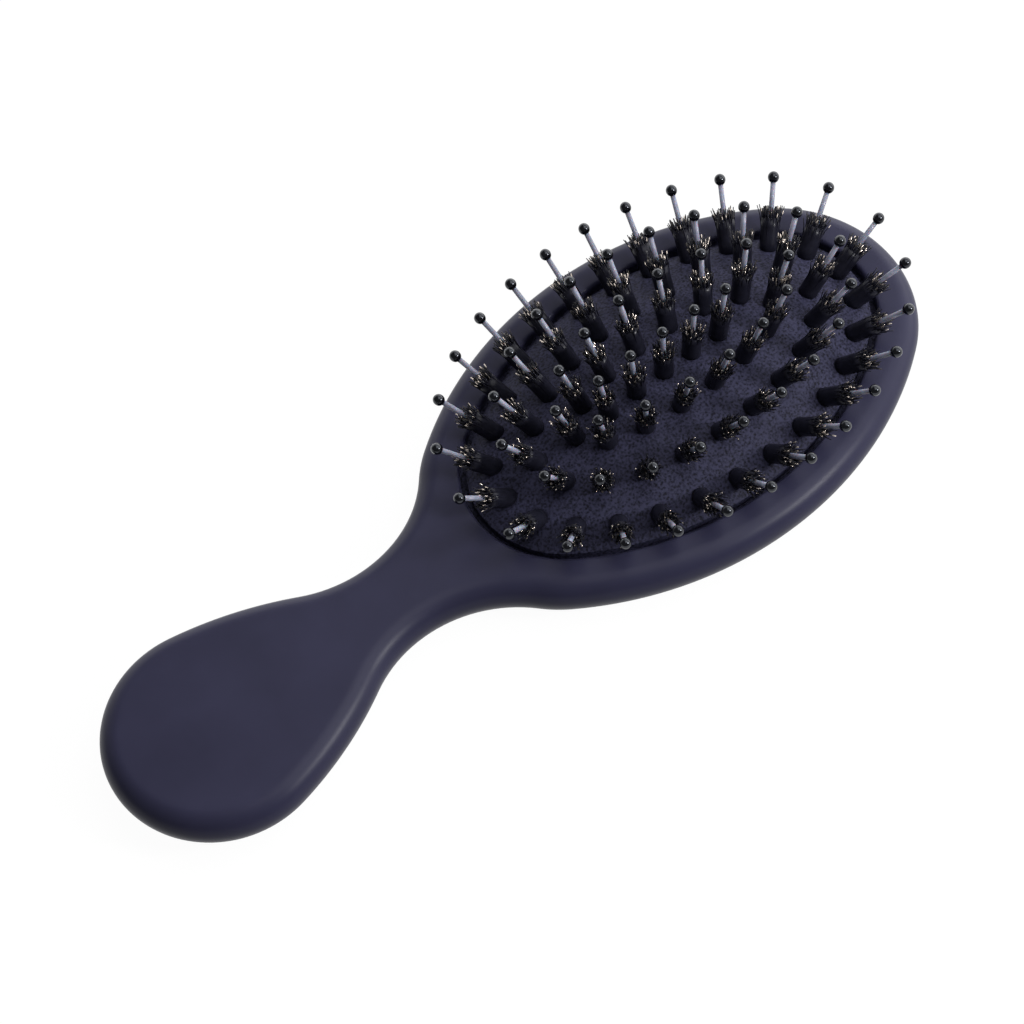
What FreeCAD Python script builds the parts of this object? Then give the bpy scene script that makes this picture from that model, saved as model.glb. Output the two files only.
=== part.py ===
import FreeCAD, Part
import math
import os
import Sketcher

# Travel hairbrush: a one-piece handle and head, an air-cushion pad and its fan of bristle tufts and pins.
# X runs along the brush with the head towards +X, Z points out of the face, the back lies on Z = 0.

doc = FreeCAD.newDocument("travel_brush")
sheet = doc.addObject("Spreadsheet::Sheet", "sizes")

# Driving dimensions, in millimetres and degrees, and shares of them
DIMENSIONS = [
    # handle and head, the handle's shape as shares of the length that it stands out of the head
    ("total_length", 145.0),
    ("head_length", 85.8),
    ("head_width", 56.9),
    ("body_thickness", 8.5),
    ("face_round", 3.2),
    ("back_inset", 6.8),
    ("handle_width_share", 0.569),
    ("flank_radius_share", 1.047),
    ("neck_radius_share", 0.346),
    ("neck_width_share", 0.233),
    ("oval_end_share", 1.142),
    # oval pocket for the pad
    ("rim_end_width", 6.6),
    ("rim_side_width", 5.8),
    ("lip_thickness", 1.8),
    ("lip_edge_chamfer", 0.4),
    ("groove_depth", 2.0),
    ("groove_height", 2.2),
    ("floor_thickness", 2.0),
    # rubber pad
    ("pad_fit", 0.15),
    ("pad_gap", 1.0),
    ("pad_drop", 0.6),
    ("pad_rise", 6.5),
    ("dome_power", 2.3),
    ("pad_wall", 1.6),
    # tuft field: three ovals of tufts round a middle row, each oval starting a share of a step off the axis
    ("field_end_margin", 4.4),
    ("field_side_margin", 3.55),
    ("field_shift", 0.9),
    ("row_to_ring", 6.1),
    ("tuft_pitch", 6.15),
    ("end_crowding_share", 0.2),
    ("row_pitch", 5.3),
    ("row_shift_share", -0.4),
    ("outer_start_share", 0.13),
    ("second_start_share", 0.3),
    ("third_start_share", 0.1),
    ("outer_lean_angle", 46.0),
    ("second_lean_angle", 31.0),
    ("third_lean_angle", 17.0),
    ("middle_lean_angle", 9.0),
    # tufts, pins, ball tips and staples
    ("tuft_width", 3.0),
    ("crown_width", 3.9),
    ("tuft_height", 6.2),
    ("flare_height", 3.9),
    ("fold_thickness", 0.5),
    ("piece_fit", 0.06),
    ("pin_width", 0.85),
    ("outer_pin_reach", 10.8),
    ("second_pin_reach", 10.4),
    ("third_pin_reach", 10.1),
    ("middle_pin_reach", 10.0),
    ("ball_width", 1.8),
    ("staple_length", 3.9),
    ("staple_width", 1.2),
    ("staple_thickness", 0.4),
    ("staple_gap", 0.5),
]
for row, (alias, value) in enumerate(DIMENSIONS, start=1):
    sheet.set(f"A{row}", alias)
    sheet.set(f"B{row}", str(value))
    sheet.setAlias(f"B{row}", alias)
doc.recompute()


def measure(expression):
    """The number that an expression on the sheet gives."""
    result = sheet.evalExpression(expression)
    return float(getattr(result, "Value", result))


# Places and sizes that follow from the driving dimensions
HANDLE_LENGTH = "(sizes.total_length - sizes.head_length)"
HANDLE_RADIUS = f"({HANDLE_LENGTH} * sizes.handle_width_share / 2)"
FLANK_RADIUS = f"({HANDLE_LENGTH} * sizes.flank_radius_share)"
NECK_RADIUS = f"({HANDLE_LENGTH} * sizes.neck_radius_share)"
NECK_HALF_WIDTH = f"({HANDLE_LENGTH} * sizes.neck_width_share / 2)"
HEAD_CENTRE = f"{HANDLE_LENGTH} / 2"
HEAD_HALF_LENGTH = "(sizes.head_length / 2)"
HEAD_HALF_WIDTH = "(sizes.head_width / 2)"
HEAD_END_RADIUS = f"({HEAD_HALF_WIDTH}^2 / {HEAD_HALF_LENGTH} * sizes.oval_end_share)"
OPENING_HALF_LENGTH = f"({HEAD_HALF_LENGTH} - sizes.rim_end_width)"
OPENING_HALF_WIDTH = f"({HEAD_HALF_WIDTH} - sizes.rim_side_width)"
OPENING_END_RADIUS = f"({OPENING_HALF_WIDTH}^2 / {OPENING_HALF_LENGTH} * sizes.oval_end_share)"
FIELD_HALF_LENGTH = f"({OPENING_HALF_LENGTH} - sizes.field_end_margin)"
FIELD_HALF_WIDTH = f"({OPENING_HALF_WIDTH} - sizes.field_side_margin)"
RING_STEP = f"(({FIELD_HALF_WIDTH} - sizes.row_to_ring) / 2)"
GROOVE_TOP = "(sizes.body_thickness - sizes.lip_thickness)"
BEAD_BASE = "(sizes.body_thickness - sizes.lip_thickness - sizes.groove_height + sizes.pad_fit)"
PAD_EDGE = "(sizes.body_thickness - sizes.pad_drop)"
STAPLE_TOP = "(sizes.pad_wall + sizes.staple_gap)"
ROOT_LENGTH = f"({STAPLE_TOP} + sizes.staple_thickness + sizes.fold_thickness + 2 * sizes.piece_fit)"
HEXAGON = "sizes.piece_fit / cos(30)"
BACK_HEIGHT = "(sizes.body_thickness - sizes.face_round)"
BACK_INSET = f"min(sizes.back_inset; {NECK_HALF_WIDTH})"
# Shares of the ellipse at which its two bevels start, would reach the back, and meet
BEVEL_TOP = "(1 - tan(15))"
BEVEL_FOOT = f"({BEVEL_TOP} * tan(30))"
BEVEL_CORNER = "tan(15)"
SIDE_BEVEL_CUT = (f"sqrt((({BEVEL_FOOT} - {BEVEL_CORNER}) * {BACK_INSET})^2"
                  f" + ({BEVEL_CORNER} * {BACK_HEIGHT})^2)")
BALL_FOOT = 60
BALL_FLAT = f"sizes.ball_width / 2 * sin({BALL_FOOT})"

UP = FreeCAD.Vector(0, 0, 1)
# How a sketch numbers an arc's points, each by its place in this row, and its own origin and axis
POINT_ORDER = ("edge", "start", "end", "centre")
ORIGIN = (-1, 1)
X_AXIS = -1


def arc_between(centre, radius, start, end):
    """A counter-clockwise arc about a centre from one point to another, in a sketch's plane."""
    circle = Part.Circle(FreeCAD.Vector(*centre, 0), UP, radius)
    first = math.atan2(start[1] - centre[1], start[0] - centre[0])
    last = math.atan2(end[1] - centre[1], end[0] - centre[0])
    return Part.ArcOfCircle(circle, first, last if last > first else last + 2 * math.pi)


def along(centre, towards, distance):
    """The point at a distance from a centre, towards another point."""
    reach = math.hypot(towards[0] - centre[0], towards[1] - centre[1])
    return tuple(c + (t - c) * distance / reach for c, t in zip(centre, towards))


def relate(sketch, kind, *places):
    """Add a constraint to a sketch, with the points of its arcs given by name, and return its number."""
    numbers = [POINT_ORDER.index(place) if place in POINT_ORDER else place for place in places]
    return sketch.addConstraint(Sketcher.Constraint(kind, *numbers))


def drive(sketch, kind, places, name, expression):
    """Add a dimension to a sketch and bind it to the sheet."""
    index = relate(sketch, kind, *places, measure(expression))
    sketch.renameConstraint(index, name)
    sketch.setExpression(f"Constraints.{name}", expression)


def head_sketch(body, name, height):
    """A sketch square to Z at a height, with its origin on the head's centre."""
    sketch = body.newObject("Sketcher::SketchObject", name)
    ground = next(plane for plane in body.Origin.OriginFeatures if plane.Role == "XY_Plane")
    sketch.AttachmentSupport = [(ground, "")]
    sketch.MapMode = "FlatFace"
    sketch.setExpression("AttachmentOffset.Base.x", HEAD_CENTRE)
    sketch.setExpression("AttachmentOffset.Base.z", height)
    return sketch


def side_radius(half_length, half_width, end_radius):
    """The flank radius of an oval of four tangent arcs."""
    return (f"((({half_length}) - ({end_radius}))^2 + ({half_width})^2 - ({end_radius})^2)"
            f" / (2 * (({half_width}) - ({end_radius})))")


def oval_arcs(half_length, half_width, end_radius):
    """Four tangent arcs about the head's centre: far end, upper flank, near end, lower flank."""
    end = measure(end_radius)
    flank = measure(side_radius(half_length, half_width, end_radius))
    far = (measure(half_length) - end, 0)
    near = (-far[0], 0)
    above = (0, measure(half_width) - flank)
    below = (0, -above[1])
    corners = [along(above, far, flank), along(above, near, flank),
               along(below, near, flank), along(below, far, flank)]
    return [arc_between(far, end, corners[3], corners[0]), arc_between(above, flank, corners[0], corners[1]),
            arc_between(near, end, corners[1], corners[2]), arc_between(below, flank, corners[2], corners[3])]


def oval_sketch(body, name, height, half_length, half_width, end_radius):
    """An oval of four tangent arcs, square to Z at a height."""
    sketch = head_sketch(body, name, height)
    for arc in oval_arcs(half_length, half_width, end_radius):
        sketch.addGeometry(arc)
    relate(sketch, "Tangent", 0, "end", 1, "start")
    relate(sketch, "Tangent", 1, "end", 2, "start")
    relate(sketch, "Coincident", 2, "end", 3, "start")
    relate(sketch, "Coincident", 3, "end", 0, "start")
    relate(sketch, "PointOnObject", 0, "centre", X_AXIS)
    relate(sketch, "PointOnObject", 2, "centre", X_AXIS)
    relate(sketch, "Equal", 0, 2)
    relate(sketch, "Equal", 1, 3)
    relate(sketch, "Vertical", 0, "start", 0, "end")
    relate(sketch, "Vertical", 2, "start", 2, "end")
    drive(sketch, "Radius", (0,), "end_radius", end_radius)
    drive(sketch, "DistanceX", (*ORIGIN, 0, "centre"), "far_centre",
          f"({half_length}) - ({end_radius})")
    drive(sketch, "DistanceX", (2, "centre", *ORIGIN), "near_centre",
          f"({half_length}) - ({end_radius})")
    drive(sketch, "DistanceY", (1, "centre", *ORIGIN), "flank_drop",
          f"{side_radius(half_length, half_width, end_radius)} - ({half_width})")
    return sketch


def outline_sketch(body):
    """The brush seen from the face: round handle end, swelling flanks, waisted neck and oval head."""
    sketch = head_sketch(body, "outline", "0")
    handle_reach = f"sizes.total_length - {HEAD_HALF_LENGTH} - {HANDLE_RADIUS}"
    end_reach = f"{HEAD_HALF_LENGTH} - {HEAD_END_RADIUS}"
    head_flank = side_radius(HEAD_HALF_LENGTH, HEAD_HALF_WIDTH, HEAD_END_RADIUS)
    handle = measure(HANDLE_RADIUS)
    flank = measure(FLANK_RADIUS)
    neck = measure(NECK_RADIUS)
    end = measure(HEAD_END_RADIUS)
    side = measure(head_flank)

    # Centres of the arcs above the axis
    tip_at = (measure(end_reach), 0)
    shoulder_at = (-tip_at[0], 0)
    side_at = (0, measure(HEAD_HALF_WIDTH) - side)
    handle_at = (-measure(handle_reach), 0)
    neck_height = neck + measure(NECK_HALF_WIDTH)
    neck_at = (shoulder_at[0] - math.sqrt((neck + end) ** 2 - neck_height ** 2), neck_height)
    apart = math.dist(handle_at, neck_at)
    share = ((flank - handle) ** 2 - (flank + neck) ** 2 + apart ** 2) / (2 * apart)
    offset = math.sqrt((flank - handle) ** 2 - share ** 2)
    step = ((neck_at[0] - handle_at[0]) / apart, (neck_at[1] - handle_at[1]) / apart)
    flank_at = (handle_at[0] + share * step[0] + offset * step[1],
                handle_at[1] + share * step[1] - offset * step[0])

    # Points where the arcs meet, above the axis and mirrored below it
    upper = [along(side_at, tip_at, side), along(side_at, shoulder_at, side),
             along(shoulder_at, neck_at, end), along(flank_at, neck_at, flank),
             along(flank_at, handle_at, flank)]
    lower = [(x, -y) for x, y in upper]
    side_below, neck_below, flank_below = ((x, -y) for x, y in (side_at, neck_at, flank_at))
    tip, upper_side, upper_shoulder, upper_neck, upper_flank = 0, 1, 2, 3, 4
    handle_end, lower_flank, lower_neck, lower_shoulder, lower_side = 5, 6, 7, 8, 9
    sketch.addGeometry(arc_between(tip_at, end, lower[0], upper[0]))
    sketch.addGeometry(arc_between(side_at, side, upper[0], upper[1]))
    sketch.addGeometry(arc_between(shoulder_at, end, upper[1], upper[2]))
    sketch.addGeometry(arc_between(neck_at, neck, upper[3], upper[2]))
    sketch.addGeometry(arc_between(flank_at, flank, upper[3], upper[4]))
    sketch.addGeometry(arc_between(handle_at, handle, upper[4], lower[4]))
    sketch.addGeometry(arc_between(flank_below, flank, lower[4], lower[3]))
    sketch.addGeometry(arc_between(neck_below, neck, lower[2], lower[3]))
    sketch.addGeometry(arc_between(shoulder_at, end, lower[2], lower[1]))
    sketch.addGeometry(arc_between(side_below, side, lower[1], lower[0]))

    relate(sketch, "Tangent", tip, "end", upper_side, "start")
    relate(sketch, "Tangent", upper_side, "end", upper_shoulder, "start")
    relate(sketch, "Tangent", upper_shoulder, "end", upper_neck, "end")
    relate(sketch, "Tangent", upper_neck, "start", upper_flank, "start")
    relate(sketch, "Tangent", upper_flank, "end", handle_end, "start")
    relate(sketch, "Coincident", handle_end, "end", lower_flank, "start")
    relate(sketch, "Coincident", lower_flank, "end", lower_neck, "end")
    relate(sketch, "Coincident", lower_neck, "start", lower_shoulder, "start")
    relate(sketch, "Coincident", lower_shoulder, "end", lower_side, "start")
    relate(sketch, "Coincident", lower_side, "end", tip, "start")
    for centred in (tip, upper_shoulder, handle_end):
        relate(sketch, "PointOnObject", centred, "centre", X_AXIS)
    relate(sketch, "Equal", tip, upper_shoulder)
    relate(sketch, "Vertical", tip, "start", tip, "end")
    relate(sketch, "Coincident", upper_shoulder, "centre", lower_shoulder, "centre")
    relate(sketch, "Equal", upper_shoulder, lower_shoulder)
    relate(sketch, "Vertical", upper_shoulder, "start", lower_shoulder, "end")
    relate(sketch, "Vertical", upper_shoulder, "end", lower_shoulder, "start")
    relate(sketch, "Equal", upper_side, lower_side)
    relate(sketch, "Equal", upper_neck, lower_neck)
    relate(sketch, "Equal", upper_flank, lower_flank)
    relate(sketch, "Vertical", handle_end, "start", handle_end, "end")
    relate(sketch, "Symmetric", upper_flank, "start", lower_flank, "end", X_AXIS)
    drive(sketch, "Radius", (handle_end,), "handle_radius", HANDLE_RADIUS)
    drive(sketch, "Radius", (upper_flank,), "flank_radius", FLANK_RADIUS)
    drive(sketch, "Radius", (upper_neck,), "neck_radius", NECK_RADIUS)
    drive(sketch, "Radius", (tip,), "end_radius", HEAD_END_RADIUS)
    drive(sketch, "DistanceX", (handle_end, "centre", *ORIGIN), "handle_reach", handle_reach)
    drive(sketch, "DistanceX", (*ORIGIN, tip, "centre"), "tip_reach", end_reach)
    drive(sketch, "DistanceX", (upper_shoulder, "centre", *ORIGIN), "shoulder_reach", end_reach)
    drive(sketch, "DistanceY", (upper_side, "centre", *ORIGIN), "side_drop",
          f"{head_flank} - {HEAD_HALF_WIDTH}")
    drive(sketch, "DistanceY", (*ORIGIN, upper_neck, "centre"), "neck_height",
          f"{NECK_RADIUS} + {NECK_HALF_WIDTH}")
    return sketch


def pad_on(body, sketch, name, length):
    """Raise a sketch into a solid."""
    feature = body.newObject("PartDesign::Pad", name)
    feature.Profile = sketch
    feature.setExpression("Length", length)
    doc.recompute()
    return feature


def pocket_in(body, sketch, name, length):
    """Sink a sketch downwards into the solid, and make sure that it cut something."""
    before = body.Shape.Volume
    feature = body.newObject("PartDesign::Pocket", name)
    feature.Profile = sketch
    feature.setExpression("Length", length)
    doc.recompute()
    if body.Shape.Volume >= before:
        raise RuntimeError(f"{name} cuts nothing")
    return feature


def dress_edges(body, kind, base, name, edges, **sizes):
    """Round or bevel the named edges of a feature."""
    feature = body.newObject(f"PartDesign::{kind}", name)
    feature.Base = (base, edges)
    if "Size2" in sizes:
        feature.ChamferType = "Two distances"
    for size, expression in sizes.items():
        feature.setExpression(size, expression)
    doc.recompute()
    return feature


def rim_of_face(shape, height, inner):
    """Names of the edges round the flat face at a height: its outside, or the hole in it."""
    faces = [face for face in shape.Faces
             if isinstance(face.Surface, Part.Plane) and face.BoundBox.ZLength < 1e-6
             and abs(face.BoundBox.ZMax - height) < 1e-6]
    face = max(faces, key=lambda candidate: candidate.BoundBox.XLength)
    wires = [wire for wire in face.Wires if wire.isSame(face.OuterWire) != inner]
    rim = [edge for wire in wires for edge in wire.Edges]
    return [f"Edge{number}" for number, edge in enumerate(shape.Edges, start=1)
            if any(edge.isSame(other) for other in rim)]


def make_handle():
    """One-piece moulding: the flat-faced handle and head, with the undercut pocket that holds the pad."""
    body = doc.addObject("PartDesign::Body", "handle_body")
    blank = pad_on(body, outline_sketch(body), "blank", "sizes.body_thickness")
    top = measure("sizes.body_thickness")
    face = dress_edges(body, "Fillet", blank, "face_edge", rim_of_face(blank.Shape, top, False),
                       Radius="sizes.face_round")
    # Two bevels that follow a quarter of an ellipse, so that the turned-under side has few faces
    side = dress_edges(body, "Chamfer", face, "side_bevel", rim_of_face(face.Shape, 0, False),
                       Size=f"{BEVEL_TOP} * {BACK_HEIGHT}", Size2=f"{BEVEL_FOOT} * {BACK_INSET}")
    dress_edges(body, "Chamfer", side, "back_bevel", rim_of_face(side.Shape, 0, False),
                Size=SIDE_BEVEL_CUT, Size2=f"({BEVEL_TOP} - {BEVEL_FOOT}) * {BACK_INSET}")
    opening = oval_sketch(body, "opening", "sizes.body_thickness",
                          OPENING_HALF_LENGTH, OPENING_HALF_WIDTH, OPENING_END_RADIUS)
    pocket = pocket_in(body, opening, "air_pocket", "sizes.body_thickness - sizes.floor_thickness")
    dress_edges(body, "Chamfer", pocket, "lip_edge", rim_of_face(pocket.Shape, top, True),
                Size="sizes.lip_edge_chamfer")
    groove = oval_sketch(body, "groove_outline", GROOVE_TOP,
                         f"{OPENING_HALF_LENGTH} + sizes.groove_depth",
                         f"{OPENING_HALF_WIDTH} + sizes.groove_depth",
                         f"{OPENING_END_RADIUS} + sizes.groove_depth")
    pocket_in(body, groove, "bead_groove", "sizes.groove_height")
    body.Label = "handle_body"
    return body


def faceted(name, loops):
    """A solid with flat facets between loops of corners, closed at the first loop and the last."""
    outlines = [loops[0][::-1], loops[-1]]
    for lower, upper in zip(loops, loops[1:]):
        for corner in range(len(lower)):
            after = (corner + 1) % len(lower)
            outlines.append([lower[corner], lower[after], upper[after], upper[corner]])
    shell = Part.makeShell([Part.Face(Part.makePolygon(outline + outline[:1])) for outline in outlines])
    shell.sewShape()
    solid = doc.addObject("Part::Feature", name)
    solid.Shape = Part.makeSolid(shell).removeSplitter()
    return solid


# Shares of the pad's half sizes at which its dome is cut into bands, from its edge to its crown
DOME_SHARES = (1.0, 0.9, 0.75, 0.55, 0.35, 0.15)
# Flat facets along each end of the pad's oval and along each flank
END_STEPS, FLANK_STEPS = 8, 10


def pad_loop(inset, height, share=1.0):
    """Corners of the pocket's oval at a height, drawn in by an inset and then shrunk to a share."""
    arcs = oval_arcs(f"{OPENING_HALF_LENGTH} - ({inset})", f"{OPENING_HALF_WIDTH} - ({inset})",
                     f"{OPENING_END_RADIUS} - ({inset})")
    centre = measure(HEAD_CENTRE)
    loop = []
    for arc, steps in zip(arcs, (END_STEPS, FLANK_STEPS, END_STEPS, FLANK_STEPS)):
        for point in arc.discretize(Number=steps + 1)[:-1]:
            loop.append(FreeCAD.Vector(centre + point.x * share, point.y * share, height))
    return loop


def dome_loops(inset, rise):
    """Ovals that shrink as they climb from the pad's edge to its crown."""
    edge = measure(PAD_EDGE)
    return [pad_loop(inset, edge + measure(rise) * (1 - share ** measure("sizes.dome_power")), share)
            for share in DOME_SHARES]


def make_pad_blank():
    """Domed rubber membrane with a skirt and the bead that snaps under the lip."""
    bead_inset = "sizes.pad_fit - sizes.groove_depth"
    bead_base = measure(BEAD_BASE)
    bead_top = measure(f"{GROOVE_TOP} - sizes.pad_fit")
    outside = faceted("pad_outside", [
        pad_loop(bead_inset, bead_base), pad_loop(bead_inset, bead_top), pad_loop("sizes.pad_gap", bead_top),
        *dome_loops("sizes.pad_gap", "sizes.pad_rise")])
    hollow_inset = "sizes.pad_gap + sizes.pad_wall"
    hollow = faceted("pad_hollow", [
        pad_loop(hollow_inset, bead_base - measure("sizes.pad_wall")),
        *dome_loops(hollow_inset, "sizes.pad_rise - sizes.pad_wall")])
    return cut("pad_blank", outside, hollow)


def polygon(sides, radius, height):
    """Corners of a regular polygon about the tuft's axis, at a height."""
    turns = [2 * math.pi * side / sides for side in range(sides)]
    return [FreeCAD.Vector(radius * math.cos(turn), radius * math.sin(turn), height) for turn in turns]


def prism(name, radius, base, height):
    """A hexagonal rod along the tuft's axis."""
    rod = doc.addObject("Part::Prism", name)
    rod.Polygon = 6
    rod.setExpression("Circumradius", radius)
    rod.setExpression("Height", height)
    rod.setExpression("Placement.Base.z", base)
    return rod


def cut(name, base, tool):
    """One shape with another taken out of it."""
    result = doc.addObject("Part::Cut", name)
    result.Base = base
    result.Tool = tool
    return result


def bar(name, width, length, thickness, top):
    """A flat bar across the tuft's axis, under the pad."""
    box = doc.addObject("Part::Box", name)
    box.setExpression("Length", width)
    box.setExpression("Width", length)
    box.setExpression("Height", thickness)
    box.setExpression("Placement.Base.x", f"-({width}) / 2")
    box.setExpression("Placement.Base.y", f"-({length}) / 2")
    box.setExpression("Placement.Base.z", f"-({top}) - ({thickness})")
    return box


def make_tuft():
    """A bundle of bristles, folded round a staple under the pad and flared at its cut ends."""
    stem = measure("sizes.tuft_width / 2")
    crown = measure("sizes.crown_width / 2")
    bundle = faceted("bundle", [
        polygon(6, stem, -measure(ROOT_LENGTH)), polygon(6, stem, measure("sizes.flare_height")),
        polygon(6, crown, measure("sizes.tuft_height"))])
    socket = prism("pin_socket", f"sizes.pin_width / 2 + {HEXAGON}", f"-{STAPLE_TOP}",
                   f"{STAPLE_TOP} + sizes.tuft_height + sizes.crown_width")
    eye = bar("staple_eye", "sizes.staple_width + 2 * sizes.piece_fit", "2 * sizes.tuft_width",
              "sizes.staple_thickness + 2 * sizes.piece_fit", f"{STAPLE_TOP} - sizes.piece_fit")
    return cut("tuft", cut("bored_bundle", bundle, socket), eye)


def make_ball():
    """A ball tip in flat facets, with the flat that meets its pin at the foot."""
    radius = measure("sizes.ball_width / 2")
    latitudes = [math.radians(angle) for angle in (-BALL_FOOT, -20, 25, 65)]
    return faceted("ball", [polygon(6, radius * math.cos(angle), radius * math.sin(angle))
                            for angle in latitudes])


RING_NAMES = ("outer", "second", "third")


def make_pin(ring):
    """A nylon pin that stands on the staple and carries its ball tip."""
    return prism(f"{ring}_pin", "sizes.pin_width / 2", f"-{STAPLE_TOP} + sizes.piece_fit",
                 f"{STAPLE_TOP} - sizes.piece_fit + sizes.{ring}_pin_reach - {BALL_FLAT}")


def oval_places(half_length, half_width, start):
    """Points a pitch apart round an ellipse from its handle end, a little closer at its two ends."""
    samples = 1440
    turns = [2 * math.pi * index / samples for index in range(samples + 1)]
    points = [(-half_length * math.cos(turn), half_width * math.sin(turn)) for turn in turns]
    travelled = [0.0]
    for before, after in zip(points, points[1:]):
        travelled.append(travelled[-1] + math.dist(before, after))
    count = round(travelled[-1] / measure("sizes.tuft_pitch"))
    crowding = measure("sizes.end_crowding_share")
    passed = [(1 - crowding) * so_far / travelled[-1] + crowding * index / samples
              for index, so_far in enumerate(travelled)]
    goals = [(number + start) / count for number in range(count)]
    return [points[next(index for index, share in enumerate(passed) if share >= goal)] for goal in goals]


def seat(x, y, towards, lean):
    """The placement of a tuft on the dome, leaning outwards by an angle."""
    half_length = measure(f"{OPENING_HALF_LENGTH} - sizes.pad_gap")
    half_width = measure(f"{OPENING_HALF_WIDTH} - sizes.pad_gap")
    share = math.hypot(x / half_length, y / half_width)
    height = measure(PAD_EDGE) + measure("sizes.pad_rise") * (1 - share ** measure("sizes.dome_power"))
    size = math.hypot(*towards)
    outward = FreeCAD.Vector(towards[0] / size, towards[1] / size, 0)
    angle = math.radians(lean)
    axis = outward * math.sin(angle) + UP * math.cos(angle)
    across = axis.cross(outward)
    across.normalize()
    turn = FreeCAD.Rotation(across.cross(axis), across, axis, "ZXY")
    return FreeCAD.Placement(FreeCAD.Vector(measure(HEAD_CENTRE) + x, y, height), turn)


def field_seats():
    """Where each tuft stands, ring by ring, leaning square to the pad's oval."""
    half_length = measure(f"{OPENING_HALF_LENGTH} - sizes.pad_gap")
    half_width = measure(f"{OPENING_HALF_WIDTH} - sizes.pad_gap")
    shift = measure("sizes.field_shift")
    seats = {}
    for number, ring in enumerate(RING_NAMES):
        inward = number * measure(RING_STEP)
        places = oval_places(measure(FIELD_HALF_LENGTH) - inward, measure(FIELD_HALF_WIDTH) - inward,
                             measure(f"sizes.{ring}_start_share"))
        lean = measure(f"sizes.{ring}_lean_angle")
        seats[ring] = [seat(x + shift, y, (x / half_length ** 2, y / half_width ** 2), lean)
                       for x, y in places]
    pitch = measure("sizes.row_pitch")
    row_length = 2 * measure(f"{FIELD_HALF_LENGTH} - {len(RING_NAMES)} * {RING_STEP}")
    count = round(row_length / pitch)
    seats["middle"] = []
    for number in range(count):
        steps = number - (count - 1) / 2
        lean = measure("sizes.middle_lean_angle") * steps / max((count - 1) / 2, 1)
        x = shift + (steps + measure("sizes.row_shift_share")) * pitch
        seats["middle"].append(seat(x, 0, (1, 0), lean))
    return seats


def group(label, master, seats, lift=0.0):
    """Copies of one piece, one at each seat, as separate solids of a node."""
    copies = []
    for place in seats:
        copy = master.Shape.copy()
        lifted = place.multiply(FreeCAD.Placement(FreeCAD.Vector(0, 0, lift), FreeCAD.Rotation()))
        copy.Placement = lifted.multiply(master.Shape.Placement)
        copies.append(copy)
    node = doc.addObject("Part::Feature", label)
    node.Label = label
    node.Shape = Part.makeCompound(copies)
    return node


handle = make_handle()
pad_blank = make_pad_blank()
tuft = make_tuft()
ball = make_ball()
staple = bar("staple", "sizes.staple_width", "sizes.staple_length", "sizes.staple_thickness", STAPLE_TOP)
hole = prism("tuft_hole", f"sizes.tuft_width / 2 + {HEXAGON}", f"-2 * {ROOT_LENGTH}", f"3 * {ROOT_LENGTH}")
pins = {ring: make_pin(ring) for ring in (*RING_NAMES, "middle")}
doc.recompute()

rings = field_seats()
all_seats = [place for seats in rings.values() for place in seats]
pad = cut("cushion_pad", pad_blank, group("tuft_holes", hole, all_seats))
nodes = [handle, pad]
for ring, seats in rings.items():
    nodes.append(group(f"bristle_tufts_{ring}", tuft, seats))
    nodes.append(group(f"nylon_pins_{ring}", pins[ring], seats))
    nodes.append(group(f"ball_tips_{ring}", ball, seats, measure(f"sizes.{ring}_pin_reach")))
    nodes.append(group(f"tuft_staples_{ring}", staple, seats))
doc.recompute()

for item in doc.Objects:
    if "Invalid" in item.State or "Error" in item.State:
        raise RuntimeError(f"{item.Name} did not build: {item.State}")
for node in nodes:
    if node.Shape.isNull() or not node.Shape.isValid():
        raise RuntimeError(f"{node.Label} has no valid shape")

os.makedirs("parts", exist_ok=True)
for node in nodes:
    node.Shape.exportStep(f"parts/{node.Label}.step")
    print(f"{node.Label}: {len(node.Shape.Solids)} solids, {node.Shape.Volume:.1f} cubic mm")
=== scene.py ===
import math

import bmesh
import bpy
from bpy.props import FloatProperty, FloatVectorProperty, IntProperty, PointerProperty
from mathutils import Matrix, Vector, kdtree


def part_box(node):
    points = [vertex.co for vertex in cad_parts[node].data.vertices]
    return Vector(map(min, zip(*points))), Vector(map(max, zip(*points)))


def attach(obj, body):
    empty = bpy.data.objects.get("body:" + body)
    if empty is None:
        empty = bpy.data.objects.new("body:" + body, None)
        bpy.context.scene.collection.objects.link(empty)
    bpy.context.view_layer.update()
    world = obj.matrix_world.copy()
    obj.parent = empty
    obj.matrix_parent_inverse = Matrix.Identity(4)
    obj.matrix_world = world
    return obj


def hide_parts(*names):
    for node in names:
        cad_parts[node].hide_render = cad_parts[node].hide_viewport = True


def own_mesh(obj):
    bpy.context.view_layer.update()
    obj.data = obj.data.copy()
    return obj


bl_info = {
    "name": "Travel Cushion Hairbrush",
    "version": (1, 0, 0),
    "blender": (4, 5, 0),
    "location": "View3D > Sidebar > Hairbrush",
    "description": "Dresses a packed cushion hairbrush with its handle, pad, bristles, pins and studio",
    "category": "Object",
}

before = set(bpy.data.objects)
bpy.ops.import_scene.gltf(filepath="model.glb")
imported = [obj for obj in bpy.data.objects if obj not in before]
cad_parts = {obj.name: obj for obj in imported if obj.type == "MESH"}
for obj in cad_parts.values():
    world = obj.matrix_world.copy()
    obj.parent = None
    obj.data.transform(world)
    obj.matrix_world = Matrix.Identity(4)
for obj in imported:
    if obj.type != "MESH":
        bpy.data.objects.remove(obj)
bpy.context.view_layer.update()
HANDLE_LOW, HANDLE_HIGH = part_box("handle_body")

# The rings of tufts, from the edge of the pad to its middle, and the body that carries each
RING_BODIES = {"outer": "outer_ring", "second": "second_ring", "third": "third_ring", "middle": "middle_row"}

# Corners of a CAD node that lie closer than this, in metres, are one
MERGE_DISTANCE = 1e-6

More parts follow.
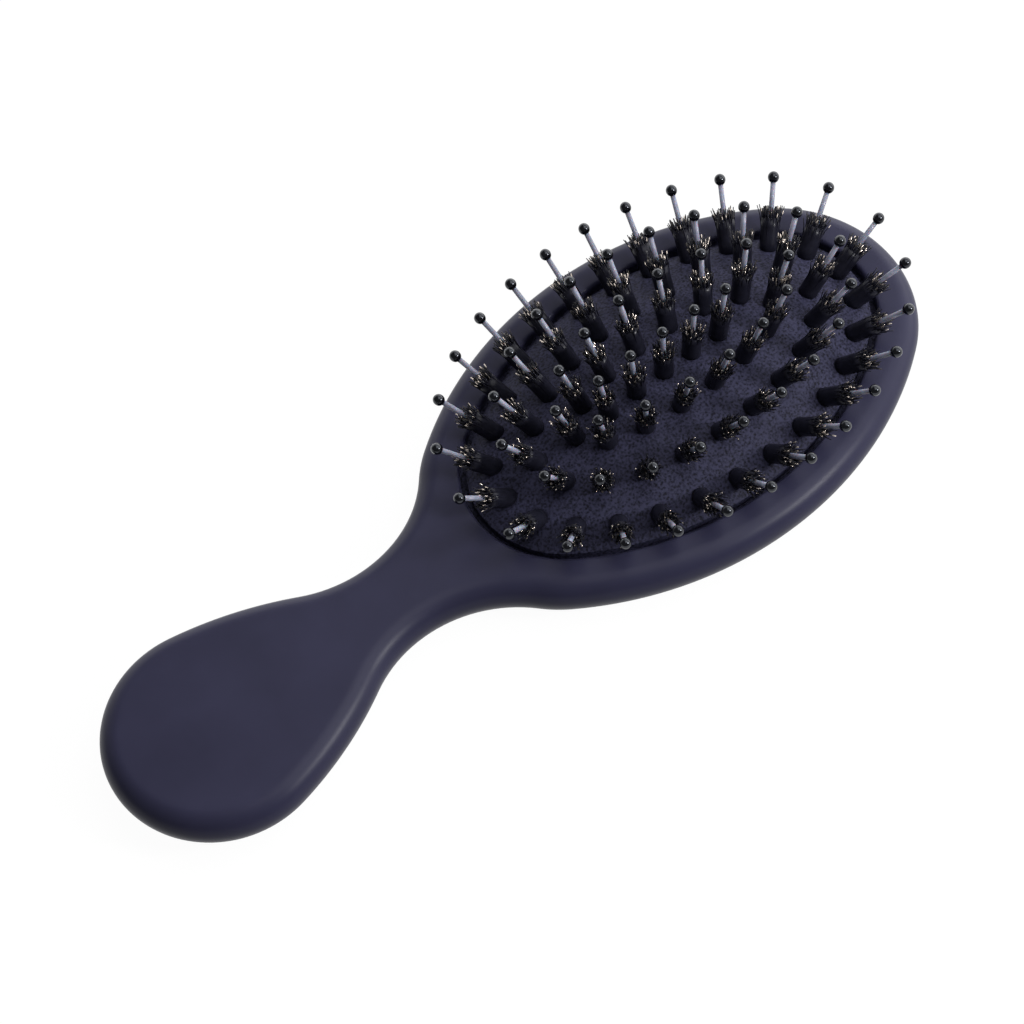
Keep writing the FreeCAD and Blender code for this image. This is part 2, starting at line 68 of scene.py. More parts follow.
# How finely the edges and the dome are divided, and the turn from which an edge stays sharp
EDGE_STEPS = 14
LIP_STEPS = 5
DOME_BANDS = 84
UNDERSIDE_STEP = 12
SHARP_ANGLE = math.radians(50)

# The narrow flat kept beside the handle's edges, over the radius of its face edge
SUPPORT_SHARE = 0.16

# Where the flat back begins, over the back edge's inset, and where the round side begins, in degrees
FLAT_BACK_SHARE = 0.92
BACK_TURN = -75

# The size of the dome's last loop against its first
CROWN_SHARE = 0.015

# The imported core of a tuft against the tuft's height and stem
CORE_HEIGHT_SHARE = 0.74
CORE_FOOT_SHARE = 1.06
CORE_TOP_SHARE = 1.08

# The turn from one bristle of a tuft to the next, and from one tuft's pattern to the next tuft's
GOLDEN_ANGLE = math.pi * (3 - math.sqrt(5))
TURN_PER_TUFT = 1.7

# How far a bristle's end strays, over the radius of the tuft's crown
STRAY_SHARE = 0.24

# The least and the greatest height of a bristle, over the tuft's height
HEIGHT_SHARES = (0.84, 1.06)

# The radius of a bristle at its foot and at its end, over its width
RADIUS_SHARES = (0.5, 0.36)

# How late along their height the bristles fan out
FAN_POWER = 4.0

# How far apart the seeds of two rings lie
SEEDS_PER_RING = 10

# The radius of a pin's end over its foot's, and the stretch of its ball
PIN_TAPER = 0.92
BALL_STRETCH = (0.98, 0.98, 1.02)

# The grain of the rubber: how far its cells are stirred, over their size, and their share in its height
STIR_SHARE = 0.6
CELL_SHARE = 0.5

# Each lamp's place and width; its power is the stage setting of the same name
LAMPS = {
    "key": ((0.22, -0.3, 0.26), 0.09),
    "rim": ((0.45, 0.1, 0.42), 0.85),
    "top": ((0.12, -0.08, 0.4), 0.3),
}

# The floor: its half width, how far it lies under the brush, its grey, and how bright it shows and mirrors
FLOOR_HALF_WIDTH = 3
FLOOR_DROP = 0.0001
FLOOR_GREY = 0.06
FLOOR_SHOWN = 0.965
FLOOR_MIRRORED = 0.9

# The bright wall: the way to it, and the ranges over which it fades at its ends and towards its top
WALL_WAY = (0.85, 0.53, 0)
WALL_ENDS = (-0.1, 0.6)
WALL_TOP = (0.1, 0.7)

# The range that most of a cloudy noise lies in
NOISE_RANGE = (0.3, 0.7)


def length(name, description, default):
    """A setting that holds a length in metres."""
    return FloatProperty(name=name, description=description, default=default, min=0, precision=5,
                         subtype="DISTANCE", unit="LENGTH")


def angle(name, description, degrees):
    """A setting that holds an angle, with its default given in degrees."""
    return FloatProperty(name=name, description=description, default=math.radians(degrees), subtype="ANGLE")


def share(name, description, default):
    """A setting that holds a plain ratio."""
    return FloatProperty(name=name, description=description, default=default, min=0, subtype="FACTOR")


def wattage(name, description, default):
    """A setting that holds the power of a lamp."""
    return FloatProperty(name=name, description=description, default=default, min=0, unit="POWER")


def colour(name, description, default):
    """A setting that holds a linear colour."""
    return FloatVectorProperty(name=name, description=description, default=default, size=3, min=0, max=1,
                               subtype="COLOR")


class HandleSettings(bpy.types.PropertyGroup):
    """Sizes and finish of the one-piece handle and head."""
    head_length: length("Head Length", "Length of the oval head", 0.0858)
    handle_width_share: share("Handle Width", "Handle width over the handle's length", 0.569)
    flank_radius_share: share("Flank Radius", "Radius of the handle's sides over its length", 1.047)
    neck_radius_share: share("Neck Radius", "Radius of the waisted neck over the handle's length", 0.346)
    neck_width_share: share("Neck Width", "Neck width over the handle's length", 0.233)
    oval_end_share: share("Oval Ends", "Radius of the ovals' ends against a true ellipse", 1.142)
    face_round: length("Face Edge", "Radius of the edge round the face", 0.0032)
    back_inset: length("Back Edge", "How far the side turns under towards the back", 0.0068)
    rim_end_width: length("Rim at Ends", "Rim width at the two ends of the pad", 0.0066)
    rim_side_width: length("Rim at Sides", "Rim width beside the pad", 0.0058)
    lip_round: length("Lip Edge", "Radius of the opening's edge", 0.0006)
    lip_thickness: length("Lip Thickness", "Thickness of the lip that holds the pad", 0.0018)
    groove_depth: length("Groove Depth", "Depth of the groove under the lip", 0.002)
    groove_height: length("Groove Height", "Height of the groove under the lip", 0.0022)
    floor_thickness: length("Floor", "Thickness of the wall under the air chamber", 0.002)
    coat: colour("Coat", "Soft-touch coat of the handle", (0.0305, 0.03, 0.062))


class PadSettings(bpy.types.PropertyGroup):
    """Sizes and finish of the domed rubber pad."""
    gap: length("Gap", "Gap between the pad and the lip", 0.001)
    drop: length("Drop", "How far the pad's edge lies below the face", 0.0006)
    rise: length("Rise", "Height of the dome over its edge", 0.0065)
    dome_power: share("Dome Power", "How full the dome is towards its edge", 2.3)
    wall: length("Wall", "Thickness of the rubber", 0.0016)
    fit: length("Fit", "Play of the bead in its groove", 0.00015)
    dimple_depth: length("Dimple Depth", "How far the rubber is drawn in at each tuft", 0.0002)
    dimple_radius: length("Dimple Radius", "How wide the rubber is drawn in at each tuft", 0.0026)
    grain: length("Grain", "Distance between the pits in the rubber", 0.00042)
    rubber: colour("Rubber", "Colour of the rubber", (0.027, 0.027, 0.053))


class TuftSettings(bpy.types.PropertyGroup):
    """Sizes and finish of the bristle tufts."""
    bristles: IntProperty(name="Bristles", description="Bristles in each tuft", default=110, min=1)
    stem_radius: length("Stem Radius", "Radius of a tuft where it leaves the pad", 0.00138)
    crown_radius: length("Crown Radius", "Radius of a tuft at its cut ends", 0.0018)
    height: length("Height", "Height of a tuft over the pad", 0.0062)
    root: length("Root", "How far the modelled bristles reach into the pad", 0.00067)
    width: length("Bristle Width", "Thickness of one bristle", 0.00021)
    seed: IntProperty(name="Seed", description="Seed of the bristles' scatter", default=7)
    black: colour("Black", "Colour of the bristles", (0.01, 0.01, 0.017))
    bronze: colour("Bronze", "Colour of the bristles' cut ends", (0.18, 0.158, 0.14))


class PinSettings(bpy.types.PropertyGroup):
    """Sizes and finish of the nylon pins, their ball tips and the staples."""
    root: length("Root", "How far a pin reaches into the pad", 0.00204)
    radius: length("Pin Radius", "Radius of a pin at its foot", 0.00043)
    tip_radius: length("Tip Radius", "Radius of a ball tip", 0.0009)
    foot: length("Foot", "From a pin's end to the middle of its ball", 0.00078)
    nylon: colour("Nylon", "Colour of the pins", (0.31, 0.32, 0.42))
    dip: colour("Dip", "Colour of the ball tips", (0.002, 0.002, 0.003))
    steel: colour("Steel", "Colour of the staples", (0.56, 0.55, 0.53))


class StageSettings(bpy.types.PropertyGroup):
    """Camera, light and floor."""
    azimuth: angle("Azimuth", "Camera's turn round the brush", -32.7)
    elevation: angle("Elevation", "Camera's height over the horizon", 58.3)
    roll: angle("Roll", "Camera's roll", -7.4)
    distance: length("Distance", "From the camera to the point that it looks at", 0.411)
    focal_share: share("Focal Length", "Focal length over the picture's width", 2748 / 1024)
    target: FloatVectorProperty(name="Target", description="Point that the camera looks at", size=3,
                                subtype="XYZ", unit="LENGTH", default=(0.00011, 0.00233, 0.00215))
    backdrop: share("Backdrop", "Brightness of the lit wall beyond the brush", 2.2)
    room: share("Room", "Brightness of the rest of the studio", 0.14)
    key: wattage("Key", "Power of the lamp beside the camera", 1.0)
    rim: wattage("Rim", "Power of the lamp beyond the head", 2.1)
    top: wattage("Top", "Power of the faint lamp overhead", 0.45)


class HairbrushSettings(bpy.types.PropertyGroup):
    """All settings of the brush."""
    handle: PointerProperty(type=HandleSettings)
    pad: PointerProperty(type=PadSettings)
    tufts: PointerProperty(type=TuftSettings)
    pins: PointerProperty(type=PinSettings)
    stage: PointerProperty(type=StageSettings)


# Node trees


def add(tree, kind, inputs=None, **settings):
    """Add a node to a tree, and link or set its inputs by name or number."""
    node = tree.nodes.new(kind)
    for name, value in settings.items():
        setattr(node, name, value)
    for key, value in (inputs or {}).items():
        if isinstance(value, bpy.types.NodeSocket):
            tree.links.new(value, node.inputs[key])
        else:
            node.inputs[key].default_value = value
    return node


def math_node(tree, operation, *values):
    """The result of a sum on numbers."""
    return add(tree, "ShaderNodeMath", dict(enumerate(values)), operation=operation).outputs[0]


def whole_node(tree, operation, *values):
    """The result of a sum on whole numbers."""
    return add(tree, "FunctionNodeIntegerMath", dict(enumerate(values)), operation=operation).outputs[0]


def vector_node(tree, operation, *values):
    """The result of a sum on vectors; scaling takes its factor second."""
    if operation == "SCALE":
        inputs = {"Vector": values[0], "Scale": values[1]}
    else:
        inputs = dict(enumerate(values))
    return add(tree, "ShaderNodeVectorMath", inputs, operation=operation).outputs[0]


def vector_of(tree, x=0.0, y=0.0, z=0.0):
    """A vector from its three parts."""
    return add(tree, "ShaderNodeCombineXYZ", {0: x, 1: y, 2: z}).outputs[0]


def ramp(tree, factor, *stops):
    """A colour that changes with a factor, through stops of place and colour."""
    node = add(tree, "ShaderNodeValToRGB", {"Fac": factor})
    elements = node.color_ramp.elements
    while len(elements) < len(stops):
        elements.new(0.5)
    for element, (place, shade) in zip(elements, stops):
        element.position = place
        element.color = (*shade, 1)
    return node.outputs["Color"]


def spread(tree, factor, old, new):
    """A number moved from one range to another."""
    inputs = {"Value": factor, "From Min": old[0], "From Max": old[1], "To Min": new[0], "To Max": new[1]}
    return add(tree, "ShaderNodeMapRange", inputs).outputs["Result"]


def noise(tree, coordinates, size, detail=2.0):
    """Cloudy noise whose lumps have about a size, in metres."""
    inputs = {"Vector": coordinates, "Scale": 1 / size, "Detail": detail, "Roughness": 0.55}
    return add(tree, "ShaderNodeTexNoise", inputs).outputs["Fac"]


def bumped(tree, height, strength, distance):
    """A normal that follows a height."""
    inputs = {"Height": height, "Strength": strength, "Distance": distance}
    return add(tree, "ShaderNodeBump", inputs).outputs["Normal"]


def shade_of(base, factor):
    """A colour made lighter or darker."""
    return tuple(min(part * factor, 1) for part in base)


def wavering(tree, factor, base, dark, light):
    """A colour that wavers with a noise between two shades of a base."""
    low, high = NOISE_RANGE
    return ramp(tree, factor, (low, shade_of(base, dark)), (high, shade_of(base, light)))


def finish(name, **sockets):
    """A new material with plain values on its shader, its tree, its shader and its object coordinates."""
    material = bpy.data.materials.new(name)
    material.use_nodes = True
    tree = material.node_tree
    shader = tree.nodes["Principled BSDF"]
    for socket, value in sockets.items():
        shader.inputs[socket.replace("_", " ")].default_value = value
    place = add(tree, "ShaderNodeTexCoord").outputs["Object"]
    return material, tree, shader, place


def feed(tree, shader, **sources):
    """Link what varies over a surface to the shader's sockets."""
    for socket, source in sources.items():
        tree.links.new(source, shader.inputs[socket.replace("_", " ")])


# Finishes


def soft_touch_coat(settings):
    """Satin soft-touch coat with faint clouds and a fine tooth."""
    material, tree, shader, place = finish("soft_touch_coat", Specular_IOR_Level=0.17)
    clouds = noise(tree, place, size=0.014, detail=3)
    tooth = noise(tree, place, size=0.00028)
    feed(tree, shader, Base_Color=wavering(tree, clouds, settings.coat, dark=0.9, light=1.1),
         Roughness=spread(tree, clouds, NOISE_RANGE, (0.34, 0.39)),
         Normal=bumped(tree, tooth, strength=0.08, distance=0.00003))
    return material


def pebbled_rubber(settings):
    """Rubber with a fine pebbled grain, its colour darkened in the pits as painted shade and lighter towards
    the pebbles' tops.
    """
    material, tree, shader, place = finish("pebbled_rubber", Specular_IOR_Level=0.12)
    fineness = 1 / settings.grain
    stir = add(tree, "ShaderNodeTexNoise", {"Vector": place, "Scale": fineness}).outputs["Color"]
    stirred = vector_node(tree, "ADD", place, vector_node(tree, "SCALE", stir, settings.grain * STIR_SHARE))
    cells = add(tree, "ShaderNodeTexVoronoi", {"Vector": stirred, "Scale": fineness}).outputs["Distance"]
    speckle = noise(tree, place, size=settings.grain, detail=1)
    clouds = noise(tree, place, size=0.008)
    grain = math_node(tree, "ADD", math_node(tree, "MULTIPLY", cells, CELL_SHARE), speckle)
    # The colour follows the grain's height: painted shade in its low pits and lighter on its high tops, over
    # the rubber's own speckle
    pit_shaded_grain = ramp(tree, grain, (0.5, shade_of(settings.rubber, 0.34)), (0.7, settings.rubber),
                  (0.9, shade_of(settings.rubber, 1.6)))
    feed(tree, shader, Base_Color=pit_shaded_grain, Roughness=spread(tree, clouds, NOISE_RANGE, (0.55, 0.7)),
         Normal=bumped(tree, grain, strength=0.6, distance=0.00012))
    return material


def dyed_bristle(settings):
    """Near-black bristle whose cut ends show bronze, some of them pale and bright."""
    material, tree, shader, place = finish("dyed_bristle", Specular_IOR_Level=0.2)
    along = add(tree, "ShaderNodeAttribute", attribute_name="along").outputs["Fac"]
    tone = add(tree, "ShaderNodeAttribute", attribute_name="tone").outputs["Fac"]
    ends = ramp(tree, tone, (0.6, settings.black), (0.7, shade_of(settings.bronze, 0.25)),
                (0.84, shade_of(settings.bronze, 0.5)), (0.91, shade_of(settings.bronze, 5)))
    body = wavering(tree, noise(tree, place, size=0.0009), settings.black, dark=1, light=1.6)
    bared = spread(tree, along, (0.9, 0.95), (0, 1))
    bright = spread(tree, tone, (0.7, 0.85), (0, 1))
    feed(tree, shader,
         Base_Color=add(tree, "ShaderNodeMix", {0: bared, 6: body, 7: ends}, data_type="RGBA").outputs[2],
         Metallic=math_node(tree, "MULTIPLY", bared, bright),
         Roughness=spread(tree, tone, (0, 1), (0.3, 0.16)))
    return material


def clear_nylon(settings):
    """Pale nylon that lets a little light through."""
    material, tree, shader, place = finish("clear_nylon", Specular_IOR_Level=0.5, Transmission_Weight=0.04,
                                           Subsurface_Weight=0.25, Subsurface_Scale=0.0004)
    streaks = noise(tree, place, size=0.0011)
    feed(tree, shader, Base_Color=wavering(tree, streaks, settings.nylon, dark=0.9, light=1.08),
         Roughness=spread(tree, streaks, NOISE_RANGE, (0.22, 0.36)))
    return material


def dipped_gloss(settings):
    """Glossy black dip with a slightly uneven gloss."""
    material, tree, shader, place = finish("dipped_gloss", IOR=1.5, Coat_Weight=0.25,
                                           Specular_Tint=(0.8, 0.86, 1, 1))
    skin = noise(tree, place, size=0.0007, detail=1)
    feed(tree, shader, Base_Color=wavering(tree, skin, settings.dip, dark=1, light=1.8),
         Roughness=spread(tree, skin, NOISE_RANGE, (0.02, 0.06)))
    return material


def drawn_steel(settings):
    """Plain drawn steel with fine streaks."""
    material, tree, shader, place = finish("drawn_steel", Metallic=1.0)
    stretched = vector_node(tree, "MULTIPLY", place, (1, 8, 8))
    streaks = noise(tree, stretched, size=0.002, detail=3)
    feed(tree, shader, Base_Color=wavering(tree, streaks, settings.steel, dark=0.8, light=1),
         Roughness=spread(tree, streaks, NOISE_RANGE, (0.28, 0.45)))
    return material


def pale_floor():
    """A pale floor that shows white where it is lit."""
    material = bpy.data.materials.new("pale_floor")
    material.use_nodes = True
    tree = material.node_tree
    tree.nodes.clear()
    matt = add(tree, "ShaderNodeBsdfDiffuse", {"Color": (FLOOR_GREY, FLOOR_GREY, FLOOR_GREY, 1)}).outputs[0]
    path = add(tree, "ShaderNodeLightPath").outputs
    seen = math_node(tree, "MAXIMUM", path["Is Camera Ray"], path["Is Transmission Ray"])
    shown = math_node(tree, "MULTIPLY", seen, FLOOR_SHOWN)
    mirrored = math_node(tree, "MULTIPLY", path["Is Glossy Ray"], FLOOR_MIRRORED)
    strength = math_node(tree, "MAXIMUM", shown, mirrored)
    glow = add(tree, "ShaderNodeEmission", {"Strength": strength}).outputs[0]
    both = add(tree, "ShaderNodeAddShader", {0: matt, 1: glow}).outputs[0]
    add(tree, "ShaderNodeOutputMaterial", {"Surface": both})
    return material


# Mesh helpers


def new_piece(name, mesh):
    """An object at the origin that shows a mesh."""
    piece = bpy.data.objects.new(name, mesh)
    bpy.context.scene.collection.objects.link(piece)
    return piece


def settle(piece, slot, body, *nodes):
    """Give a piece its body and hide the CAD nodes that it stands for; the slot that it is given is not
    used.
    """
    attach(piece, body)
    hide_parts(*nodes)


def row_of(shape, points, height):
    """A loop of new corners at a height."""
    return [shape.verts.new((point.x, point.y, height)) for point in points]


def bridge(shape, rows):
    """Skin a stack of loops, each loop to the next."""
    for lower, upper in zip(rows, rows[1:]):
        for corner in range(len(lower)):
            after = (corner + 1) % len(lower)
            shape.faces.new((lower[corner], lower[after], upper[after], upper[corner]))


def loop_edges(shape, row):
    """The edges round a loop of corners."""
    return [shape.edges.get((corner, after)) for corner, after in zip(row, row[1:] + row[:1])]


def smooth_mesh(shape, name):
    """A smooth mesh from a worked shape, with its corners kept sharp."""
    mesh = bpy.data.meshes.new(name)
    shape.to_mesh(mesh)
    shape.free()
    mesh.polygons.foreach_set("use_smooth", [True] * len(mesh.polygons))
    mesh.set_sharp_from_angle(angle=SHARP_ANGLE)
    return mesh


def heading(start, end):
    """The direction from one point to another, as an angle."""
    return math.atan2(end.y - start.y, end.x - start.x)


def quarter_round(inset, height, across, rise, first, last, steps):
    """Places on an edge rounded to an ellipse, as insets and heights about its centre."""
    turns = [math.radians(first + (last - first) * step / steps) for step in range(steps + 1)]
    return [(inset - across * math.cos(turn), height + rise * math.sin(turn)) for turn in turns]


def run_of_arcs(arcs, inset, centre):
    """Points along tangent arcs given by middle, signed radius, normal's two angles and steps."""
    points = []
    for middle, radius, first, last, steps in arcs:
        for step in range(steps):
            turn = first + (last - first) * step / steps
            points.append(Vector((centre + middle.x + (radius - inset) * math.cos(turn),
                                  middle.y + (radius - inset) * math.sin(turn))))
    return points


def side_radius(half_length, half_width, end_radius):
    """The flank radius of an oval of four tangent arcs."""
    run = half_length - end_radius
    return (run ** 2 + half_width ** 2 - end_radius ** 2) / (2 * (half_width - end_radius))


def head_centre(handle):
    """Where the middle of the oval head lies along the brush."""
    return HANDLE_HIGH.x - handle.head_length / 2


def brush_outline(handle, inset):
    """The brush seen from the face, from the head's tip round to the left, drawn in by an inset."""
    half_length = handle.head_length / 2
    half_width = HANDLE_HIGH.y
    handle_length = HANDLE_HIGH.x - HANDLE_LOW.x - handle.head_length
    end = half_width ** 2 / half_length * handle.oval_end_share
    side = side_radius(half_length, half_width, end)
    grip = handle_length * handle.handle_width_share / 2
    flank = handle_length * handle.flank_radius_share
    neck = handle_length * handle.neck_radius_share
    neck_height = neck + handle_length * handle.neck_width_share / 2

    tip_at = Vector((half_length - end, 0))
    shoulder_at = -tip_at
    side_at = Vector((0, half_width - side))
    grip_at = Vector((-half_length - handle_length + grip, 0))
    neck_at = Vector((shoulder_at.x - math.sqrt((neck + end) ** 2 - neck_height ** 2), neck_height))
    apart = (neck_at - grip_at).length
    reach = ((flank - grip) ** 2 - (flank + neck) ** 2 + apart ** 2) / (2 * apart)
    offset = math.sqrt((flank - grip) ** 2 - reach ** 2)
    step = (neck_at - grip_at) / apart
    flank_at = grip_at + step * reach + Vector((step.y, -step.x)) * offset

    turns = [0, heading(side_at, tip_at), heading(side_at, shoulder_at), heading(shoulder_at, neck_at),
             heading(flank_at, neck_at), heading(flank_at, grip_at), math.pi]
    middles = [tip_at, side_at, shoulder_at, neck_at, flank_at, grip_at]
    radii = [end, side, end, -neck, flank, grip]
    steps = [24, 44, 18, 26, 34, 34]
    upper = run_of_arcs(list(zip(middles, radii, turns, turns[1:], steps)), inset, head_centre(handle))
    last = Vector((HANDLE_LOW.x + inset, 0))
    return upper + [last] + [Vector((point.x, -point.y)) for point in reversed(upper[1:])]


def opening_outline(handle, inset, scale=1.0, detail=1):
    """The oval opening in the head, from the side of the tip round to the left, drawn in and shrunk."""
    half_length = handle.head_length / 2 - handle.rim_end_width
    half_width = HANDLE_HIGH.y - handle.rim_side_width
    end = half_width ** 2 / half_length * handle.oval_end_share
    side = side_radius(half_length, half_width, end)
    tip_at = Vector((half_length - end, 0))
    above = Vector((0, half_width - side))
    corner = heading(above, tip_at)
    end_steps = 24 * detail
    side_steps = 36 * detail
    arcs = [(tip_at, end, -corner, corner, end_steps), (above, side, corner, math.pi - corner, side_steps),
            (-tip_at, end, math.pi - corner, math.pi + corner, end_steps),
            (-above, side, math.pi + corner, 2 * math.pi - corner, side_steps)]
    centre = head_centre(handle)
    return [Vector((centre + point.x * scale, point.y * scale)) for point in run_of_arcs(arcs, inset, 0)]


def islands_of(node):
    """Groups of joined corners in a copy of a CAD node, one for each of its solids."""
    shape = bmesh.new()
    shape.from_mesh(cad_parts[node].data)
    bmesh.ops.remove_doubles(shape, verts=shape.verts, dist=MERGE_DISTANCE)
    left = set(shape.verts)
    groups = []
    while left:
        waiting = [left.pop()]
        group = []
        while waiting:
            corner = waiting.pop()
            group.append(corner.co.copy())
            for edge in corner.link_edges:
                other = edge.other_vert(corner)
                if other in left:
                    left.remove(other)
                    waiting.append(other)
        groups.append(group)
    shape.free()
    return groups


def standing_pins(ring):
    """The foot, direction and length of each pin of a ring, read from its CAD pins."""
    pins = []
    for corners in islands_of(f"nylon_pins_{ring}"):
        middle = sum(corners, Vector()) / len(corners)
        run = max(corners, key=lambda corner: (corner - middle).length) - middle
        if run.z < 0:
            run.negate()
        ordered = sorted(corners, key=lambda corner: (corner - middle).dot(run))
        half = len(ordered) // 2
        foot = sum(ordered[:half], Vector()) / half
        line = sum(ordered[half:], Vector()) / half - foot
        pins.append((foot, line.normalized(), line.length))
    return sorted(pins, key=lambda pin: (round(pin[0].x, 6), pin[0].y))


def seat_mesh(name, places, axes):
    """Points that carry the direction in which something stands on them."""
    mesh = bpy.data.meshes.new(name)
    mesh.from_pydata(places, [], [])
    attribute = mesh.attributes.new("axis", "FLOAT_VECTOR", "POINT")
    attribute.data.foreach_set("vector", [part for axis in axes for part in axis])
    return mesh


# Geometry that grows on seats


def grown(name, seats, tree, material, **values):
    """The plain mesh that a geometry tree makes on seats, with its inputs set by name."""
    seeded = new_piece(f"{name}_seats", seats)
    modifier = seeded.modifiers.new("grow", "NODES")
    modifier.node_group = tree
    identifiers = {item.name: item.identifier for item in tree.interface.items_tree
                   if item.item_type == "SOCKET" and item.in_out == "INPUT"}
    modifier[identifiers["Material"]] = material
    for label, value in values.items():
        modifier[identifiers[label.replace("_", " ")]] = value
    seeded.update_tag()
    evaluated = seeded.evaluated_get(bpy.context.evaluated_depsgraph_get())
    mesh = bpy.data.meshes.new_from_object(evaluated)
    mesh.name = name
    seeded.modifiers.remove(modifier)
    bpy.data.objects.remove(seeded)
    if not mesh.polygons:
        raise RuntimeError(f"{name} grew nothing")
    return mesh


def growing_tree(name, **inputs):
    """A geometry tree with named inputs and one output, and its input sockets by name."""
    tree = bpy.data.node_groups.new(name, "GeometryNodeTree")
    tree.interface.new_socket("Geometry", in_out="OUTPUT", socket_type="NodeSocketGeometry")
    tree.interface.new_socket("Geometry", in_out="INPUT", socket_type="NodeSocketGeometry")
    for label, kind in inputs.items():
        tree.interface.new_socket(label.replace("_", " "), in_out="INPUT", socket_type=f"NodeSocket{kind}")
    tree.interface.new_socket("Material", in_out="INPUT", socket_type="NodeSocketMaterial")
    return tree, tree.nodes.new("NodeGroupInput").outputs


def close_tree(tree, given, shapes):
    """End a geometry tree with real meshes, smooth and in their material."""
    real = add(tree, "GeometryNodeRealizeInstances", {"Geometry": shapes}).outputs[0]
    smooth = add(tree, "GeometryNodeSetShadeSmooth", {"Geometry": real}).outputs[0]
    dressed = add(tree, "GeometryNodeSetMaterial", {"Geometry": smooth, "Material": given["Material"]})
    tree.links.new(dressed.outputs[0], tree.nodes.new("NodeGroupOutput").inputs[0])
    return tree


def stored(tree, geometry, name, kind, value):
    """Geometry that keeps a value under a name."""
    return add(tree, "GeometryNodeStoreNamedAttribute", {"Geometry": geometry, "Name": name, "Value": value},
               data_type=kind, domain="POINT").outputs[0]


def kept(tree, name, kind):
    """A value that geometry keeps under a name."""
    return add(tree, "GeometryNodeInputNamedAttribute", {"Name": name}, data_type=kind).outputs[0]


def leaning(tree, axis):
    """The turn that stands a shape up along an axis."""
    return add(tree, "FunctionNodeAlignRotationToVector", {"Vector": axis}, axis="Z").outputs[0]


def stood(tree, given, shape):
    """Copies of a shape on the seats, each along its seat's axis."""
    lean = leaning(tree, kept(tree, "axis", "FLOAT_VECTOR"))
    inputs = {"Points": given["Geometry"], "Instance": shape, "Rotation": lean}
    return add(tree, "GeometryNodeInstanceOnPoints", inputs).outputs[0]


def standing_tree(name, shape_of, **inputs):
    """A geometry tree that stands copies of one small shape on seats."""
    tree, given = growing_tree(name, **inputs)
    return close_tree(tree, given, stood(tree, given, shape_of(tree, given)))


def pin_shape(tree, given):
    """A round pin that narrows a little towards its ball."""
    narrow = math_node(tree, "MULTIPLY", given["Radius"], PIN_TAPER)
    inputs = {"Vertices": 14, "Side Segments": 4, "Radius Top": narrow, "Radius Bottom": given["Radius"],
              "Depth": given["Length"]}
    return add(tree, "GeometryNodeMeshCone", inputs, fill_type="NGON").outputs[0]


def ball_shape(tree, given):
    """A dipped ball, drawn out a little along its pin."""
    ball = add(tree, "GeometryNodeMeshUVSphere", {"Segments": 20, "Rings": 12, "Radius": given["Radius"]})
    inputs = {"Geometry": ball.outputs[0], "Scale": BALL_STRETCH}
    return add(tree, "GeometryNodeTransform", inputs).outputs[0]


def packed_core(tree, given):
    """The closed middle of a tuft, where the bristles are packed too tight to see between them."""
    top = math_node(tree, "MULTIPLY", given["Height"], CORE_HEIGHT_SHARE)
    inputs = {"Vertices": 20, "Side Segments": 4,
              "Radius Top": math_node(tree, "MULTIPLY", given["Stem Radius"], CORE_TOP_SHARE),
              "Radius Bottom": math_node(tree, "MULTIPLY", given["Stem Radius"], CORE_FOOT_SHARE),
              "Depth": math_node(tree, "ADD", top, given["Root"])}
    core = add(tree, "GeometryNodeMeshCone", inputs, fill_type="NGON").outputs[0]
    sunk = vector_of(tree, z=math_node(tree, "MULTIPLY", given["Root"], -1))
    return add(tree, "GeometryNodeTransform", {"Geometry": core, "Translation": sunk}).outputs[0]


